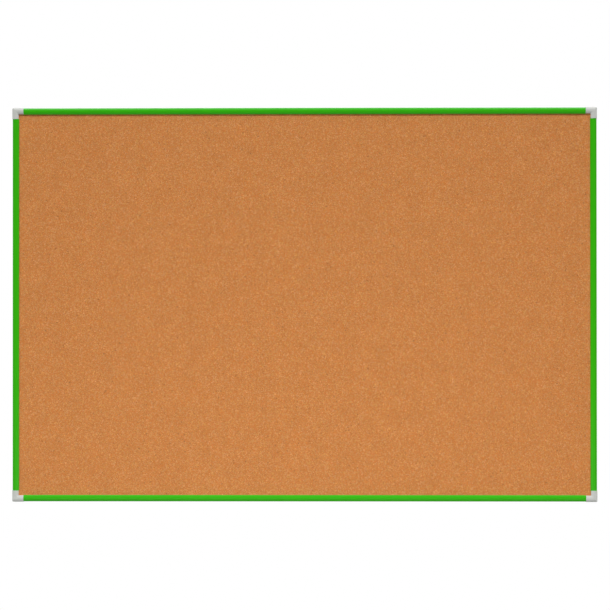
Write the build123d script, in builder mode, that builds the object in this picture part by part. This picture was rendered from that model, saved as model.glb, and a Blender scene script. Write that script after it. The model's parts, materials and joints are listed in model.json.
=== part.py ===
from build123d import *
import os
from math import sqrt

# A wall-hung cork bulletin board: 1500 x 1000 mm of pin area in a slim aluminium frame.
# +X runs to the viewer's right, +Z up, and the board faces -Y.  The origin is the centre
# of the whole board's box.
#
# The frame's cross-section is drawn in two coordinates:
#   u  inward from the outer line of the rails, towards the middle of the board
#   v  from the crown of the rail's face back towards the wall

# ---- driving dimensions (mm) -------------------------------------------------------------
PIN_WIDTH = 1500.0          # cork that shows inside the frame
PIN_HEIGHT = 1000.0
FACE = 16.5                 # width of a rail, seen from the front
CROWN_R = 17.0              # the face is an arc of this radius
RAIL_DEPTH = 24.0           # crown to back
WALL = 1.3                  # extrusion wall
CORK_T = 3.0                # panel sheets, front to back
SOFTBOARD_T = 8.0
HARDBOARD_T = 2.0
BUMPER_T = 1.5              # rubber pads between the frame and the wall
CAP_PROUD = 1.0             # the corner caps stand out past the rails by this much
CAP_FRONT_PROUD = 0.5       # and in front of them by this much
CAP_REACH = 28.5            # a rail's end, from the outer line of the rail across the corner

# ---- the rail's section ------------------------------------------------------------------
CORK_FACE = 4.5                                # v of the cork's surface
LEDGE_FRONT = CORK_FACE + CORK_T + SOFTBOARD_T + HARDBOARD_T
LEDGE_BACK = LEDGE_FRONT + 1.2                 # the ledge holds the panel from behind
LEDGE_END = 15.0
NOSE_T = 1.4                                   # the nose laps over the edge of the cork
NOSE_R = 0.5
OUTER_EDGE_R = 0.8
WEB_OUT = 7.0                                  # the web is the floor of the panel's channel
WEB_IN = 8.2
LIP_OUT = 10.8                                 # the lip keeps the hangers in their groove
LIP_IN = 11.7
LIP_FRONT = 20.9
PANEL_EDGE = WEB_IN + 0.5                      # the sheets have 0.5 mm to move in the channel

# ---- the whole board ---------------------------------------------------------------------
HALF_WIDTH = PIN_WIDTH / 2 + FACE              # from the middle to the rails' outer lines
HALF_HEIGHT = PIN_HEIGHT / 2 + FACE
DEPTH = CAP_FRONT_PROUD + RAIL_DEPTH + BUMPER_T
CROWN_Y = -DEPTH / 2 + CAP_FRONT_PROUD         # y of v = 0
BACK = (0, 1, 0)                               # towards the wall
NEAR = 0.01                                    # tolerance for picking edges by place

# ---- corner caps -------------------------------------------------------------------------
CAP_IN = FACE - CAP_PROUD                      # the cap's inner edge: it is as wide as a rail
CAP_CORNER_R = 3.0
CAP_EDGE_R = 0.6
CORE = (0.6, 6.6)                              # u of the pockets that core the moulding
CORE_FRONT = 2.6                               # v where the pockets end, behind the face
RIB = 1.6
LEG_LENGTH = 25.0                              # each cap has two legs, pushed into the rails
LEG_U = (1.45, 6.85)
LEG_V = (3.1, 22.55)
LEG_CHAMFER = 1.2

# ---- screws that hold the legs -------------------------------------------------------------
SCREW_U = 4.0                                  # on the middle of the rail's chamber
SCREW_INSET = 12.0                             # from the rail's end
SCREW_R = 1.45
SCREW_HEAD_R = 2.75
SCREW_LENGTH = 14.0
SCREW_TIP = 3.0
SCREW_HOLE_R = 1.6
SINK_R = 2.8                                   # rim of the rail's countersink
PILOT_R = 1.2                                  # the screw cuts its thread in the leg
RECESS = (3.2, 0.9)                            # cross recess: arm's length and width
RECESS_DEPTH = 1.4
RECESS_TAPER = 12                              # degrees

# ---- hangers -----------------------------------------------------------------------------
HANGER_WIDTH = 40.0
HANGER_T = 1.5
HANGER_X = 600.0                               # either side of the middle, at rest
FLANGE_U = 9.5                                 # the flange that rides in the rail's groove
FLANGE_TIP_V = 22.35
TONGUE_V = 19.8                                # the tongue leaves the groove under the lip
JOG_U = 16.8                                   # the plate jogs back from here
PLATE_V = 22.85
PLATE_END_U = 48.0
BEND_R = 1.5                                   # to the middle of the sheet
PLATE_CORNER_R = 5.0
HEAD_HOLE_R = 5.0                              # keyhole: the wall screw's head goes in here
HEAD_HOLE_U = 38.0
SLOT_WIDTH = 5.0                               # and its shank comes to rest up here
SLOT_END_U = 30.5

# ---- bumpers -----------------------------------------------------------------------------
BUMPER_R = 5.0
BUMPER_EDGE_R = 0.5
BUMPER_X = 700.0                               # either side of the middle
BUMPER_U = LIP_IN / 2                          # on the middle of the rail's back


def side_plane(inward, distance):
    """The section's plane at the middle of a side: x is u, y is v, z runs along the rail."""
    inward = Vector(*inward)
    outer_line = inward * -distance + Vector(0, CROWN_Y, 0)
    return Plane(origin=outer_line, x_dir=inward, z_dir=inward.cross(Vector(*BACK)))


def rail_back(side, u, along):
    """A plane on the back of a rail, facing the wall, that far along from its middle."""
    spot = side.from_local_coords(Vector(u, RAIL_DEPTH, along))
    return Plane(origin=spot, x_dir=side.z_dir, z_dir=BACK)


def corner_plane(along, x, z):
    """A corner's own plane: x and y run along its two rails, and z is v."""
    return Plane(origin=(x, CROWN_Y, z), x_dir=along, z_dir=BACK)


def crown_v(u):
    """How deep the crowned face of a rail lies at that u."""
    return CROWN_R - sqrt(CROWN_R**2 - (u - FACE / 2) ** 2)


def block(u, v, mode=Mode.ADD):
    """One wall of a section, over a (low, high) range of u and of v."""
    with Locations(((u[0] + u[1]) / 2, (v[0] + v[1]) / 2)):
        Rectangle(u[1] - u[0], v[1] - v[0], mode=mode)


def finish(piece, name):
    """Label a finished piece and write it as its own STEP file."""
    piece.part.label = name
    export_step(piece.part, f"parts/{name}.step")


# each side's plane, half its rail's length, and the names of the rail's two ends
SIDES = {
    "top": (side_plane((0, 0, -1), HALF_HEIGHT), HALF_WIDTH - CAP_REACH, ("left", "right")),
    "bottom": (side_plane((0, 0, 1), HALF_HEIGHT), HALF_WIDTH - CAP_REACH, ("right", "left")),
    "left": (side_plane((1, 0, 0), HALF_WIDTH), HALF_HEIGHT - CAP_REACH, ("bottom", "top")),
    "right": (side_plane((-1, 0, 0), HALF_WIDTH), HALF_HEIGHT - CAP_REACH, ("top", "bottom")),
}
# one moulding fits every corner, turned by quarters
CORNERS = {
    "top_left": corner_plane((1, 0, 0), -HALF_WIDTH, HALF_HEIGHT),
    "top_right": corner_plane((0, 0, -1), HALF_WIDTH, HALF_HEIGHT),
    "bottom_right": corner_plane((-1, 0, 0), HALF_WIDTH, -HALF_HEIGHT),
    "bottom_left": corner_plane((0, 0, 1), -HALF_WIDTH, -HALF_HEIGHT),
}

os.makedirs("parts", exist_ok=True)


# ---- panel: three sheets, bonded face to face and held in the rails' channel ---------------
def panel_sheet(name, front, thickness):
    with BuildPart() as sheet:
        with BuildSketch(Plane.XZ.offset(-(CROWN_Y + front + thickness))):
            Rectangle(2 * (HALF_WIDTH - PANEL_EDGE), 2 * (HALF_HEIGHT - PANEL_EDGE))
        extrude(amount=thickness)
    finish(sheet, name)


panel_sheet("cork_sheet", CORK_FACE, CORK_T)
panel_sheet("softboard_core", CORK_FACE + CORK_T, SOFTBOARD_T)
panel_sheet("hardboard_back", LEDGE_FRONT - HARDBOARD_T, HARDBOARD_T)


# ---- rails: one extruded section, cut square at both ends ---------------------------------
with BuildSketch() as rail_section:
    with Locations((FACE / 2, CROWN_R)):
        Circle(CROWN_R)
        Circle(CROWN_R - WALL, mode=Mode.SUBTRACT)
    block((0, FACE), (0, CORK_FACE), Mode.INTERSECT)
    block((0, WALL), (crown_v(0), RAIL_DEPTH))
    block((FACE - NOSE_T, FACE), (crown_v(FACE), CORK_FACE))
    block((WEB_OUT, WEB_IN), (WALL / 2, RAIL_DEPTH))
    block((WEB_IN, LEDGE_END), (LEDGE_FRONT, LEDGE_BACK))
    block((0, LIP_IN), (RAIL_DEPTH - WALL, RAIL_DEPTH))
    block((LIP_OUT, LIP_IN), (LIP_FRONT, RAIL_DEPTH))
    fillet(rail_section.vertices().group_by(Axis.X)[0], OUTER_EDGE_R)
    fillet(rail_section.vertices().group_by(Axis.X)[-1], NOSE_R)


def rail(name, side, half_length):
    seats = [rail_back(side, SCREW_U, end * (half_length - SCREW_INSET)) for end in (-1, 1)]
    with BuildPart() as piece:
        with BuildSketch(side):
            add(rail_section.sketch)
        extrude(amount=half_length, both=True)
        with Locations(*seats):
            CounterSinkHole(SCREW_HOLE_R, SINK_R, depth=2 * WALL, counter_sink_angle=90)
    finish(piece, name)


for side_name, (side, half_length, _) in SIDES.items():
    rail(f"{side_name}_rail", side, half_length)


# ---- corner caps -------------------------------------------------------------------------
# Drawn in a corner's own plane, as one arm and its leg, then mirrored across the mitre.
# Its face is the rail's, moved out by CAP_PROUD and forward by CAP_FRONT_PROUD.
MITRE = Plane(origin=(0, 0, 0), z_dir=(1, -1, 0))
CAP_SHOULDER = crown_v(0) - CAP_FRONT_PROUD    # v of its edges, where the crown ends

with BuildPart() as cap_moulding:
    with BuildSketch(Plane.YZ.offset(-CAP_PROUD)):
        with BuildLine():
            crown = ThreePointArc(
                (-CAP_PROUD, CAP_SHOULDER),
                (FACE / 2 - CAP_PROUD, -CAP_FRONT_PROUD),
                (CAP_IN, CAP_SHOULDER),
            )
            Polyline(
                crown @ 1,
                (CAP_IN, CORK_FACE),
                (WEB_IN, CORK_FACE),
                (WEB_IN, LEDGE_FRONT),
                (LEDGE_END, LEDGE_FRONT),
                (LEDGE_END, LEDGE_BACK),
                (LIP_IN, LEDGE_BACK),
                (LIP_IN, RAIL_DEPTH),
                (-CAP_PROUD, RAIL_DEPTH),
                crown @ 0,
            )
        make_face()
    extrude(amount=CAP_REACH + CAP_PROUD)
    with BuildSketch(Plane.XY.offset(CORE_FRONT)):
        block(CORE, CORE)
        block((CORE[1] + RIB, CAP_REACH - 2 * RIB), CORE)
    extrude(amount=RAIL_DEPTH, mode=Mode.SUBTRACT)
    with BuildSketch(Plane.YZ.offset(CAP_REACH)):
        block(LEG_U, LEG_V)
    extrude(amount=LEG_LENGTH)
    chamfer(cap_moulding.faces().sort_by(Axis.X)[-1].edges(), LEG_CHAMFER)
    with Locations((CAP_REACH + SCREW_INSET, SCREW_U, RAIL_DEPTH)):
        Hole(PILOT_R, depth=SCREW_LENGTH + 1)
    split(bisect_by=MITRE)
    mirror(about=MITRE)
    corner_edge = cap_moulding.edges().filter_by(Axis.Z).sort_by_distance((-CAP_PROUD, -CAP_PROUD))
    fillet(corner_edge[0], CAP_CORNER_R)
    straight = cap_moulding.edges().filter_by(GeomType.LINE)
    shoulders = straight.filter_by_position(Axis.Z, CAP_SHOULDER - NEAR, CAP_SHOULDER + NEAR)
    fillet(shoulders, CAP_EDGE_R)

for corner_name, corner in CORNERS.items():
    with BuildPart(corner) as corner_cap:
        add(cap_moulding.part)
    finish(corner_cap, f"corner_cap_{corner_name}")


# ---- screws ------------------------------------------------------------------------------
# Drawn pointing down from its seat, with the head's rim on the plane z = 0.
with BuildPart() as screw_form:
    with BuildSketch(Plane.XZ):
        Polygon(
            (0, 0),
            (SCREW_HEAD_R, 0),
            (SCREW_R, SCREW_R - SCREW_HEAD_R),
            (SCREW_R, SCREW_TIP - SCREW_LENGTH),
            (0, -SCREW_LENGTH),
            align=None,
        )
    revolve(axis=Axis.Z)
    with BuildSketch():
        Rectangle(*RECESS)
        Rectangle(*RECESS[::-1])
    extrude(amount=-RECESS_DEPTH, taper=RECESS_TAPER, mode=Mode.SUBTRACT)

for side_name, (side, half_length, end_names) in SIDES.items():
    for end_name, end in zip(end_names, (-1, 1)):
        with BuildPart(rail_back(side, SCREW_U, end * (half_length - SCREW_INSET))) as screw:
            add(screw_form.part)
        finish(screw, f"{side_name}_rail_screw_{end_name}")


# ---- hangers: bent from sheet steel, captive in the top rail's groove ----------------------
def hanger(name, x):
    side = SIDES["top"][0]
    keyhole_back = Plane.XZ.offset(-(CROWN_Y + RAIL_DEPTH))
    with BuildPart() as plate:
        with BuildSketch(side.offset(x)):
            with BuildLine():
                FilletPolyline(
                    (FLANGE_U, FLANGE_TIP_V),
                    (FLANGE_U, TONGUE_V),
                    (JOG_U, TONGUE_V),
                    (JOG_U + PLATE_V - TONGUE_V, PLATE_V),
                    (PLATE_END_U, PLATE_V),
                    radius=BEND_R,
                )
            trace(line_width=HANGER_T)
        extrude(amount=HANGER_WIDTH / 2, both=True)
        fillet(plate.edges().filter_by(Axis.Y).group_by(Axis.Z)[0], PLATE_CORNER_R)
        with BuildSketch(keyhole_back):
            with Locations((x, HALF_HEIGHT - HEAD_HOLE_U)):
                Circle(HEAD_HOLE_R)
            with Locations((x, HALF_HEIGHT - (HEAD_HOLE_U + SLOT_END_U) / 2)):
                SlotCenterToCenter(HEAD_HOLE_U - SLOT_END_U, SLOT_WIDTH, rotation=90)
        extrude(amount=4 * HANGER_T, mode=Mode.SUBTRACT)
    finish(plate, name)


hanger("hanger_left", -HANGER_X)
hanger("hanger_right", HANGER_X)


# ---- bumpers: stick-on pads that keep the frame parallel to the wall ------------------------
for side_name in ("top", "bottom"):
    side, _, end_names = SIDES[side_name]
    for end_name, end in zip(end_names, (-1, 1)):
        with BuildPart() as bumper:
            with BuildSketch(rail_back(side, BUMPER_U, end * BUMPER_X)):
                Circle(BUMPER_R)
            extrude(amount=BUMPER_T)
            fillet(bumper.faces().sort_by(Axis.Y)[-1].edges(), BUMPER_EDGE_R)
        finish(bumper, f"wall_bumper_{side_name}_{end_name}")
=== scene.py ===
import bpy
import json
from math import cos, radians, sin, tau
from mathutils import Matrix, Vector


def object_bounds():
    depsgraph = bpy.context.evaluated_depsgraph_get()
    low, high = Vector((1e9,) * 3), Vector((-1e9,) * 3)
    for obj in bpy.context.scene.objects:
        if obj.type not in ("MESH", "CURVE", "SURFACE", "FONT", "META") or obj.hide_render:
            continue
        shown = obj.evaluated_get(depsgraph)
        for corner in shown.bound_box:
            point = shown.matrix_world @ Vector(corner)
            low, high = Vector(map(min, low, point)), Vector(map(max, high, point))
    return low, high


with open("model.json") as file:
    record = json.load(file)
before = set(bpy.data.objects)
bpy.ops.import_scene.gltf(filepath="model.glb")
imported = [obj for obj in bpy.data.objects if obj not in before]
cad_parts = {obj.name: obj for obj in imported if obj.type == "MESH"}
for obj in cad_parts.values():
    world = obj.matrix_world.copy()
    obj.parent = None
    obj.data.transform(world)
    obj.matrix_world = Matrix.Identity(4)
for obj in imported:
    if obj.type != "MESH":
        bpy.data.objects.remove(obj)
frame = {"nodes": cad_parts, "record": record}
cad_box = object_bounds()

# ---- picture: metres and degrees, but millimetres for the lens and the sensor -----------
ACROSS = 1.600                  # what the picture shows across, at the board's face
OFF_CENTRE = (0.0020, -0.0012)  # where the camera aims from the board's middle, right and up
CAMERA_TURN = (0.57, -0.26)     # off square, round to the right and up
CAMERA_ROLL = -0.03             # so that the board's right side is a hair higher
LENS = 100.0
SENSOR = 36.0

# ---- light and floor ---------------------------------------------------------------------
AMBIENT = 0.25                  # light from the walls
AMBIENT_FRONT = 0.03            # and from the dark end, behind the camera
GLOWS = (                       # light added from one height on to another, 1 being overhead
    (0.00, -0.25, 0.12),        # by the floor
    (0.42, 0.62, 0.60),         # by the ceiling
)
FLOOR_DROP = 0.75               # how far the board hangs above the floor
FLOOR_RADIUS = 40.0
FLOOR_FADE = (1.2, 2.6)         # how far out the floor starts to fade, and is white
FLOOR_COLOUR = (0.80, 0.80, 0.79)

# each softbox: azimuth, elevation, distance, what it faces, width and height, watts
MIDDLE = (0, 0, 0)
SOFTBOXES = {
    "left_key": (-35, 57, 9.0, MIDDLE, (2.4, 1.2), 412),
    "right_key": (35, 57, 9.0, MIDDLE, (2.4, 1.2), 412),
    "floor_bounce": (0, -25, 1.42, (0, 0, -0.15), (2.6, 0.36), 12.4),
    "left_side": (-96, 5, 3.5, MIDDLE, (1.0, 1.6), 14),
    "right_side": (96, 5, 3.5, MIDDLE, (1.0, 1.6), 14),
    "back_key": (180, 24, 3.6, MIDDLE, (2.8, 1.6), 92),
}

# ---- grain -------------------------------------------------------------------------------
COARSE = 0.0028                 # cork granules
FINE = 0.0013
COARSE_BARK = 0.012             # the share of them that is bark
FINE_BARK = 0.030
PORE = 0.00028                  # and the pores in them
MOTTLE = 0.008
MESH_PITCH = 0.0021             # the wire mesh printed in the hardboard
ZINC_CRYSTAL = 0.006
MOST = (0.3, 0.7)               # most values of a noise lie between these

# ---- colours, linear ---------------------------------------------------------------------
CORK_DARK = (0.552, 0.171, 0.040)
CORK_MID = (0.608, 0.225, 0.062)
CORK_LIGHT = (0.651, 0.266, 0.081)
CORK_PALE = (0.710, 0.321, 0.107)
CORK_RED = (0.622, 0.197, 0.048)
CORK_OLIVE = (0.598, 0.271, 0.093)
CORK_BARK = (0.300, 0.112, 0.037)
YELLOWER = (1.0, 1.0, 0.80)     # these four multiply a colour
GREYER = (1.0, 1.0, 1.20)
DEEPER = (0.972, 0.947, 0.916)
PALER = (1.028, 1.053, 1.084)
GREEN = (0.032, 0.400, 0.002)
CAP_GREY = (0.520, 0.530, 0.500)
HARDBOARD = (0.150, 0.078, 0.036)
SOFTBOARD = (0.420, 0.300, 0.170)
ZINC = (0.620, 0.630, 0.640)
SCREW_ZINC = (0.560, 0.560, 0.530)
RUBBER = (0.018, 0.018, 0.019)


# ---- node trees --------------------------------------------------------------------------
WAVE_STEP = 20.0  # radians that the wave texture turns through in a metre, at scale 1


class Surface:
    """A procedural material on one Principled shader. Its textures are placed in the row's
    own coordinates, in metres, so every size given to them is a real size."""

    def __init__(self, name, **values):
        self.material = bpy.data.materials.new(name)
        self.material.use_nodes = True
        self.tree = self.material.node_tree
        self.shader = self.tree.nodes["Principled BSDF"]
        for socket, value in values.items():
            self.shader.inputs[socket.replace("_", " ")].default_value = value
        self.place = self.add("ShaderNodeTexCoord").outputs["Object"]

    def feed(self, socket, value):
        """Links an input from a socket, or sets it to a value."""
        if isinstance(value, bpy.types.NodeSocket):
            self.tree.links.new(value, socket)
        else:
            socket.default_value = value

    def add(self, kind, inputs=None, **settings):
        node = self.tree.nodes.new(kind)
        for name, value in settings.items():
            setattr(node, name, value)
        for key, value in (inputs or {}).items():
            self.feed(node.inputs[key], value)
        return node

    def drive(self, name, socket):
        """Links one of the shader's own inputs."""
        self.tree.links.new(socket, self.shader.inputs[name])

    def maths(self, operation, a, b=0.0):
        return self.add("ShaderNodeMath", {0: a, 1: b}, operation=operation).outputs[0]

    def vector(self, operation, a, b):
        return self.add("ShaderNodeVectorMath", {0: a, 1: b}, operation=operation).outputs[0]

    def squeezed(self, scale, turn=(0.0, 0.0, 0.0)):
        """The coordinates, scaled along each axis and turned."""
        inputs = {"Vector": self.place, "Scale": scale, "Rotation": turn}
        return self.add("ShaderNodeMapping", inputs).outputs[0]

    def shaken(self, amount, size):
        """The coordinates, pushed about by noise, so that nothing placed by them is regular."""
        cloud = self.add("ShaderNodeTexNoise", {"Vector": self.place, "Scale": 1 / size})
        push = self.vector("SUBTRACT", cloud.outputs["Color"], (0.5, 0.5, 0.5))
        push = self.vector("MULTIPLY", push, (amount, amount, amount))
        return self.vector("ADD", self.place, push)

    def noise(self, size, detail=2.0, rough=0.5, place=None):
        """Cloudy noise from 0 to 1, with features about that size."""
        inputs = {"Vector": place or self.place, "Scale": 1 / size}
        inputs.update({"Detail": detail, "Roughness": rough})
        return self.add("ShaderNodeTexNoise", inputs).outputs["Fac"]

    def cells(self, size, place=None, feature="F1"):
        """Voronoi cells of about that size."""
        inputs = {"Vector": place or self.place, "Scale": 1 / size}
        return self.add("ShaderNodeTexVoronoi", inputs, feature=feature).outputs

    def wave(self, pitch, place, direction):
        """Ridges with that pitch, side by side along one axis, from 0 in the valleys to 1."""
        inputs = {"Vector": place, "Scale": tau / pitch / WAVE_STEP}
        return self.add("ShaderNodeTexWave", inputs, bands_direction=direction).outputs["Fac"]

    def ramp(self, value, *stops):
        """A colour by value, from (value, colour) stops."""
        node = self.add("ShaderNodeValToRGB", {"Fac": value})
        points = node.color_ramp.elements
        while len(points) < len(stops):
            points.new(1.0)
        for point, (position, colour) in zip(points, stops):
            point.position = position
            point.color = (*colour, 1.0)
        return node.outputs["Color"]

    def between(self, value, low, high, out_low=0.0, out_high=1.0):
        """Maps one range of value onto another, and holds it inside."""
        inputs = {"Value": value, 1: low, 2: high, 3: out_low, 4: out_high}
        return self.add("ShaderNodeMapRange", inputs).outputs[0]

    def mix(self, factor, a, b, blend="MIX"):
        node = self.add("ShaderNodeMix", data_type="RGBA", blend_type=blend)
        self.feed(node.inputs[0], factor)
        self.feed(node.inputs[6], (*a, 1.0) if isinstance(a, tuple) else a)
        self.feed(node.inputs[7], (*b, 1.0) if isinstance(b, tuple) else b)
        return node.outputs[2]

    def shaded(self, colour, value, low, high, darkest, lightest):
        """The colour, darker or lighter as value runs from low to high."""
        return self.mix(1.0, colour, self.between(value, low, high, darkest, lightest), "MULTIPLY")

    def bump(self, height, depth, under=None):
        """Relief of that depth in metres, on top of the relief under it."""
        inputs = {"Height": height, "Distance": depth}
        if under is not None:
            inputs["Normal"] = under
        return self.add("ShaderNodeBump", inputs).outputs[0]


def tint(colour, factor):
    return tuple(channel * factor for channel in colour)


# ---- materials ---------------------------------------------------------------------------
def granules(s, size, place, bark):
    """Cork granules of one size: their colours, their relief and a random number for each."""
    cell = s.cells(size, place)
    tone, hue, kind = list(s.add("ShaderNodeSeparateColor", {"Color": cell["Color"]}).outputs)[:3]
    colour = s.ramp(tone, (0.0, CORK_DARK), (0.35, CORK_MID), (0.7, CORK_LIGHT), (1.0, CORK_PALE))
    colour = s.mix(s.between(hue, 0.64, 0.70, 0.0, 0.8), colour, CORK_RED)
    colour = s.mix(s.between(hue, 0.36, 0.30, 0.0, 0.8), colour, CORK_OLIVE)
    colour = s.mix(1.0, colour, s.mix(kind, YELLOWER, GREYER), "MULTIPLY")
    is_bark = s.between(kind, 1.0 - bark, 1.005 - bark, 0.0, 0.70)
    colour = s.mix(is_bark, colour, CORK_BARK)
    seam = s.cells(size, place, feature="DISTANCE_TO_EDGE")["Distance"]
    colour = s.shaded(colour, seam, 0.0, 0.09, 0.70, 1.02)
    relief = s.maths("MULTIPLY", s.between(seam, 0.0, 0.22), s.between(kind, 0.0, 1.0, 0.6, 1.0))
    return colour, relief, tone


def cork():
    """Agglomerated cork: granules of two sizes pressed in a thin binder, and faintly mottled."""
    s = Surface("cork", Roughness=0.92, Specular_IOR_Level=0.12)
    place = s.shaken(0.0009, 0.0016)
    coarse, coarse_relief, tone = granules(s, COARSE, place, COARSE_BARK)
    fine, fine_relief, _ = granules(s, FINE, place, FINE_BARK)
    is_coarse = s.between(tone, 0.58, 0.60)
    colour = s.mix(is_coarse, fine, coarse)
    relief = s.mix(is_coarse, fine_relief, coarse_relief)
    pores = s.noise(PORE)
    colour = s.shaded(colour, pores, 0.28, 0.72, 0.80, 1.18)
    streak = s.noise(0.0006, detail=3.0, rough=0.65, place=place)
    colour = s.mix(s.between(streak, 0.56, 0.68, 0.0, 0.6), colour, CORK_BARK)
    mottle = s.between(s.noise(MOTTLE, detail=1.0), *MOST)
    colour = s.mix(1.0, colour, s.mix(mottle, DEEPER, PALER), "MULTIPLY")
    colour = s.shaded(colour, s.noise(0.045, detail=2.0), *MOST, 0.968, 1.032)
    s.drive("Base Color", colour)
    s.drive("Normal", s.bump(pores, 0.00006, under=s.bump(relief, 0.00022)))
    return s.material


def powder_coat():
    """Green powder coat: satin, with the faint orange peel that the melt leaves."""
    s = Surface("green_powder_coat", Specular_IOR_Level=0.35)
    cloud = s.noise(0.06, detail=3.0)
    peel = s.noise(0.0016)
    grit = s.noise(0.00035)
    colour = s.mix(cloud, tint(GREEN, 0.96), tint(GREEN, 1.04))
    colour = s.shaded(colour, grit, *MOST, 0.97, 1.03)
    s.drive("Base Color", colour)
    s.drive("Roughness", s.between(peel, *MOST, 0.28, 0.34))
    s.drive("Normal", s.bump(grit, 0.000015, under=s.bump(peel, 0.00009)))
    return s.material


def moulded_grey():
    """Light grey moulded plastic with a fine spark-eroded texture and faint flow marks."""
    s = Surface("grey_plastic", Specular_IOR_Level=0.4)
    flow = s.noise(0.006, detail=2.0, place=s.squeezed((1.0, 1.0, 0.4)))
    spark = s.noise(0.00045, detail=3.0, rough=0.6)
    colour = s.mix(flow, tint(CAP_GREY, 0.96), tint(CAP_GREY, 1.04))
    colour = s.shaded(colour, spark, *MOST, 0.97, 1.03)
    s.drive("Base Color", colour)
    s.drive("Roughness", s.between(spark, *MOST, 0.44, 0.56))
    s.drive("Normal", s.bump(spark, 0.00003))
    return s.material


def hardboard():
    """Hardboard with its screen side out: wire-mesh print over matted brown wood fibres."""
    s = Surface("hardboard", Specular_IOR_Level=0.3)
    place = s.shaken(0.0004, 0.004)
    across = s.noise(0.0022, detail=4.0, place=s.squeezed((0.35, 1.0, 1.6), (0.0, 0.5, 0.0)))
    along = s.noise(0.0022, detail=4.0, place=s.squeezed((1.6, 1.0, 0.35), (0.0, 0.3, 0.0)))
    fibre = s.maths("MULTIPLY", across, along)
    warp, weft = s.wave(MESH_PITCH, place, "X"), s.wave(MESH_PITCH, place, "Z")
    screen = s.maths("MULTIPLY", warp, weft)
    dark, pale = tint(HARDBOARD, 0.62), tint(HARDBOARD, 1.45)
    colour = s.ramp(fibre, (0.10, dark), (0.25, HARDBOARD), (0.42, pale))
    colour = s.shaded(colour, s.noise(0.12, detail=3.0), *MOST, 0.92, 1.08)
    colour = s.shaded(colour, screen, 0.0, 1.0, 0.86, 1.06)
    s.drive("Base Color", colour)
    s.drive("Roughness", s.between(fibre, 0.1, 0.4, 0.72, 0.6))
    s.drive("Normal", s.bump(fibre, 0.0001, under=s.bump(screen, 0.0002)))
    return s.material


def softboard():
    """Softboard: loosely felted pale wood fibres."""
    s = Surface("softboard", Specular_IOR_Level=0.1, Roughness=0.95)
    strand = s.noise(0.0016, detail=5.0, rough=0.65, place=s.squeezed((0.4, 1.5, 0.8)))
    fluff = s.noise(0.0005, detail=3.0)
    dark, pale = tint(SOFTBOARD, 0.7), tint(SOFTBOARD, 1.3)
    colour = s.ramp(strand, (0.3, dark), (0.5, SOFTBOARD), (0.7, pale))
    s.drive("Base Color", s.shaded(colour, fluff, *MOST, 0.9, 1.1))
    s.drive("Normal", s.bump(fluff, 0.0001, under=s.bump(strand, 0.0003)))
    return s.material


def galvanised():
    """Galvanised sheet: frosted zinc crystals, each at its own brightness and roughness."""
    s = Surface("galvanised_steel", Metallic=1.0)
    crystal = s.cells(ZINC_CRYSTAL, s.shaken(0.002, 0.004))
    facet = s.add("ShaderNodeSeparateColor", {"Color": crystal["Color"]}).outputs[0]
    frost = s.noise(0.0012, detail=4.0, rough=0.6)
    scratch = s.noise(0.0009, detail=2.0, place=s.squeezed((0.06, 1.0, 1.0), (0.0, 0.2, 0.0)))
    colour = s.mix(facet, tint(ZINC, 0.82), tint(ZINC, 1.08))
    colour = s.shaded(colour, frost, *MOST, 0.93, 1.04)
    s.drive("Base Color", colour)
    frosted = s.between(facet, 0.0, 1.0, 0.30, 0.44)
    rubbed = s.between(scratch, 0.4, 0.7, 0.0, 0.08)
    s.drive("Roughness", s.maths("ADD", frosted, rubbed))
    s.drive("Normal", s.bump(scratch, 0.00001, under=s.bump(frost, 0.00002)))
    return s.material


def plated_screw():
    """Bright zinc plate over a cold-formed head, slightly clouded."""
    s = Surface("zinc_screw", Metallic=1.0)
    cloud = s.noise(0.0015, detail=3.0)
    tooling = s.noise(0.0003, detail=2.0)
    s.drive("Base Color", s.mix(cloud, tint(SCREW_ZINC, 0.85), tint(SCREW_ZINC, 1.1)))
    s.drive("Roughness", s.between(cloud, *MOST, 0.26, 0.40))
    s.drive("Normal", s.bump(tooling, 0.00001))
    return s.material


def rubber():
    """Black rubber with a dusty bloom."""
    s = Surface("bumper_rubber", Specular_IOR_Level=0.3)
    bloom = s.noise(0.002, detail=3.0)
    grain = s.noise(0.0003, detail=2.0)
    s.drive("Base Color", s.mix(bloom, RUBBER, tint(RUBBER, 1.9)))
    s.drive("Roughness", s.between(bloom, *MOST, 0.75, 0.88))
    s.drive("Normal", s.bump(grain, 0.00002))
    return s.material


# the record names each node's slot, and every slot has one material
MATERIALS = {
    "cork": cork(),
    "softboard": softboard(),
    "hardboard": hardboard(),
    "green_powder_coat": powder_coat(),
    "grey_plastic": moulded_grey(),
    "galvanised_steel": galvanised(),
    "zinc_screw": plated_screw(),
    "bumper_rubber": rubber(),
}
for subpart in frame["record"]["subparts"]:
    mesh = frame["nodes"][subpart["node"]].data
    mesh.materials.clear()
    mesh.materials.append(MATERIALS[subpart["material_slot"]])


# ---- studio ------------------------------------------------------------------------------
def aim(thing, position, target):
    thing.location = position
    thing.rotation_euler = (Vector(target) - Vector(position)).to_track_quat("-Z", "Y").to_euler()


def heading(azimuth, elevation):
    """The way out from the board. Azimuth 0 is in front of it and 180 behind it."""
    turn, lift = radians(azimuth), radians(elevation)
    return Vector((sin(turn) * cos(lift), -cos(turn) * cos(lift), sin(lift)))


def softbox(name, azimuth, elevation, distance, target, size, watts):
    """A soft rectangular light, facing its target."""
    light = bpy.data.lights.new(name, "AREA")
    light.shape = "RECTANGLE"
    light.size, light.size_y = size
    light.energy = watts
    lamp = bpy.data.objects.new(name, light)
    bpy.context.collection.objects.link(lamp)
    aim(lamp, Vector(target) + heading(azimuth, elevation) * distance, target)
    lamp.visible_camera = False
    return lamp


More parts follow.
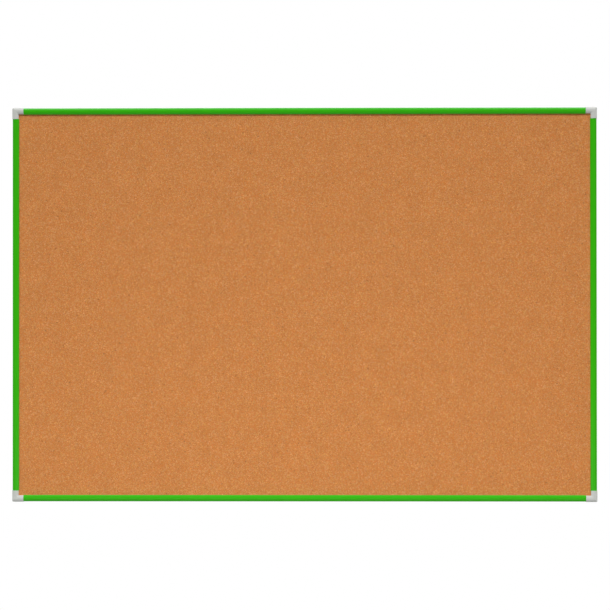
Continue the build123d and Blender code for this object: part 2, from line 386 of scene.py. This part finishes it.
def studio_world():
    """White to the camera. As light it is a dimmer grey, darkest behind the camera."""
    world = bpy.data.worlds.new("studio")
    bpy.context.scene.world = world
    world.use_nodes = True
    tree = world.node_tree
    nodes, link = tree.nodes, tree.links.new
    light, white = nodes["Background"], nodes.new("ShaderNodeBackground")
    for background in (light, white):
        background.inputs["Color"].default_value = (1.0, 1.0, 1.0, 1.0)
    way, split = nodes.new("ShaderNodeTexCoord"), nodes.new("ShaderNodeSeparateXYZ")
    level = nodes.new("ShaderNodeMapRange")
    level.inputs["From Min"].default_value = -1.0
    level.inputs["From Max"].default_value = 0.0
    level.inputs["To Min"].default_value = AMBIENT_FRONT
    level.inputs["To Max"].default_value = AMBIENT
    link(way.outputs["Generated"], split.inputs[0])
    link(split.outputs["Y"], level.inputs["Value"])
    total = level.outputs[0]
    for start, full, amount in GLOWS:
        glow, both = nodes.new("ShaderNodeMapRange"), nodes.new("ShaderNodeMath")
        glow.inputs["From Min"].default_value = start
        glow.inputs["From Max"].default_value = full
        glow.inputs["To Max"].default_value = amount
        link(split.outputs["Z"], glow.inputs["Value"])
        link(total, both.inputs[0])
        link(glow.outputs[0], both.inputs[1])
        total = both.outputs[0]
    link(total, light.inputs["Strength"])
    mix, path = nodes.new("ShaderNodeMixShader"), nodes.new("ShaderNodeLightPath")
    link(path.outputs["Is Camera Ray"], mix.inputs[0])
    link(light.outputs[0], mix.inputs[1])
    link(white.outputs[0], mix.inputs[2])
    link(mix.outputs[0], nodes["World Output"].inputs["Surface"])


def floor():
    """A pale floor that runs out into white."""
    mesh = bpy.data.meshes.new("floor")
    level = cad_box[0].z - FLOOR_DROP
    rim = [
        (FLOOR_RADIUS * cos(radians(turn)), FLOOR_RADIUS * sin(radians(turn)), level)
        for turn in range(0, 360, 10)
    ]
    mesh.from_pydata(rim, [], [range(len(rim))])
    disc = bpy.data.objects.new("floor", mesh)
    bpy.context.collection.objects.link(disc)
    s = Surface("floor", Roughness=0.9, Specular_IOR_Level=0.1, Base_Color=(*FLOOR_COLOUR, 1.0))
    out = s.add("ShaderNodeVectorMath", {0: s.place, 1: (0.0, 0.0, level)}, operation="DISTANCE")
    fade = s.between(out.outputs["Value"], *FLOOR_FADE)
    white = s.add("ShaderNodeEmission", {"Color": (1.0, 1.0, 1.0, 1.0), "Strength": 1.0})
    both = s.add("ShaderNodeMixShader", {0: fade, 1: s.shader.outputs[0], 2: white.outputs[0]})
    s.tree.links.new(both.outputs[0], s.tree.nodes["Material Output"].inputs["Surface"])
    mesh.materials.append(s.material)
    disc.visible_diffuse = False
    disc.visible_glossy = False
    return disc


def spare(lamp, thing):
    """Keeps one lamp's light off one thing."""
    unlit = bpy.data.collections.new("not_lit_by_" + lamp.name)
    unlit.objects.link(thing)
    unlit.collection_objects[0].light_linking.link_state = "EXCLUDE"
    lamp.light_linking.receiver_collection = unlit


studio_world()
lamps = {name: softbox(name, *setting) for name, setting in SOFTBOXES.items()}
lamps["floor_bounce"].visible_glossy = False
spare(lamps["floor_bounce"], floor())


# ---- camera: all but square on to the board ----------------------------------------------
camera = bpy.data.objects.new("camera", bpy.data.cameras.new("camera"))
bpy.context.collection.objects.link(camera)
bpy.context.scene.camera = camera
camera.data.lens = LENS
camera.data.sensor_width = SENSOR
target = Vector((OFF_CENTRE[0], cad_box[0].y, OFF_CENTRE[1]))
aim(camera, target + heading(*CAMERA_TURN) * ACROSS * LENS / SENSOR, target)
camera.rotation_euler.rotate_axis("Z", radians(CAMERA_ROLL))
bpy.context.scene.view_settings.view_transform = "Standard"
